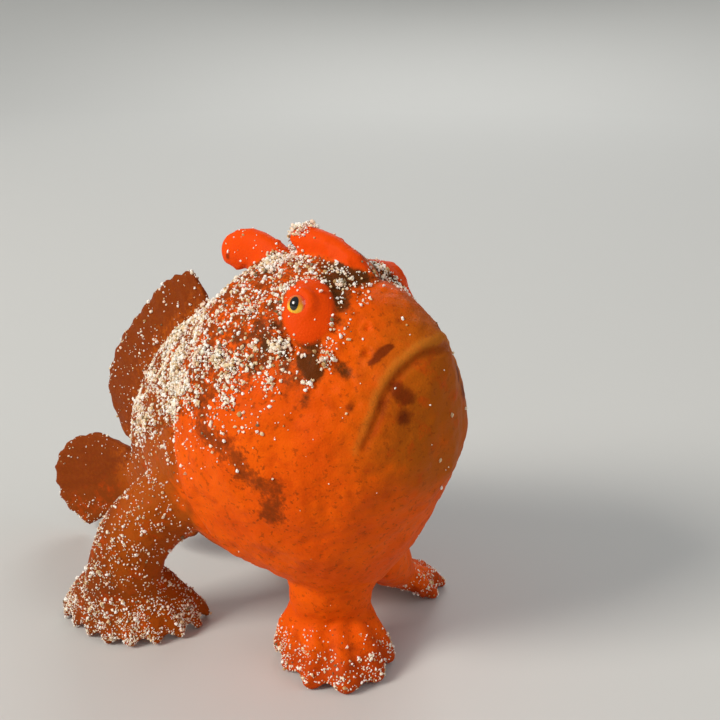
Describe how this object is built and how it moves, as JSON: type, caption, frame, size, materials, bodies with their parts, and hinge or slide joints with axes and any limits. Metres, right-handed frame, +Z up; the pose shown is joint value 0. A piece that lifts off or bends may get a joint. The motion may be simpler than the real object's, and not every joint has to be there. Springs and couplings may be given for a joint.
{
  "type": "frogfish",
  "caption": "Painted frogfish standing on its paired fins, head raised, with a globular body, upturned mouth and fanned tail; still, life-size model.",
  "frame": {"origin": "middle of the footprint's box, on the floor that the fins stand on", "axes": "+X towards the snout, +Y to the fish's left, +Z up"},
  "size_m": [0.136, 0.0794, 0.1013],
  "materials": {
    "skin": "soft moist skin, fine grained",
    "eye": "clear wet cornea over a ringed iris",
    "lure": "pale soft tissue"
  },
  "bodies": {
    "root": {"head": "skin", "torso": "skin", "tail_stem": "skin", "eye_right": "eye", "eye_left": "eye", "dorsal_spine_2": "skin", "dorsal_spine_3": "skin", "lure": "lure", "dorsal_fin": "skin", "caudal_fin": "skin", "anal_fin": "skin", "arm_right": "skin", "hand_right": "skin", "arm_left": "skin", "hand_left": "skin", "leg_right": "skin", "leg_left": "skin"}
  },
  "joints": []
}
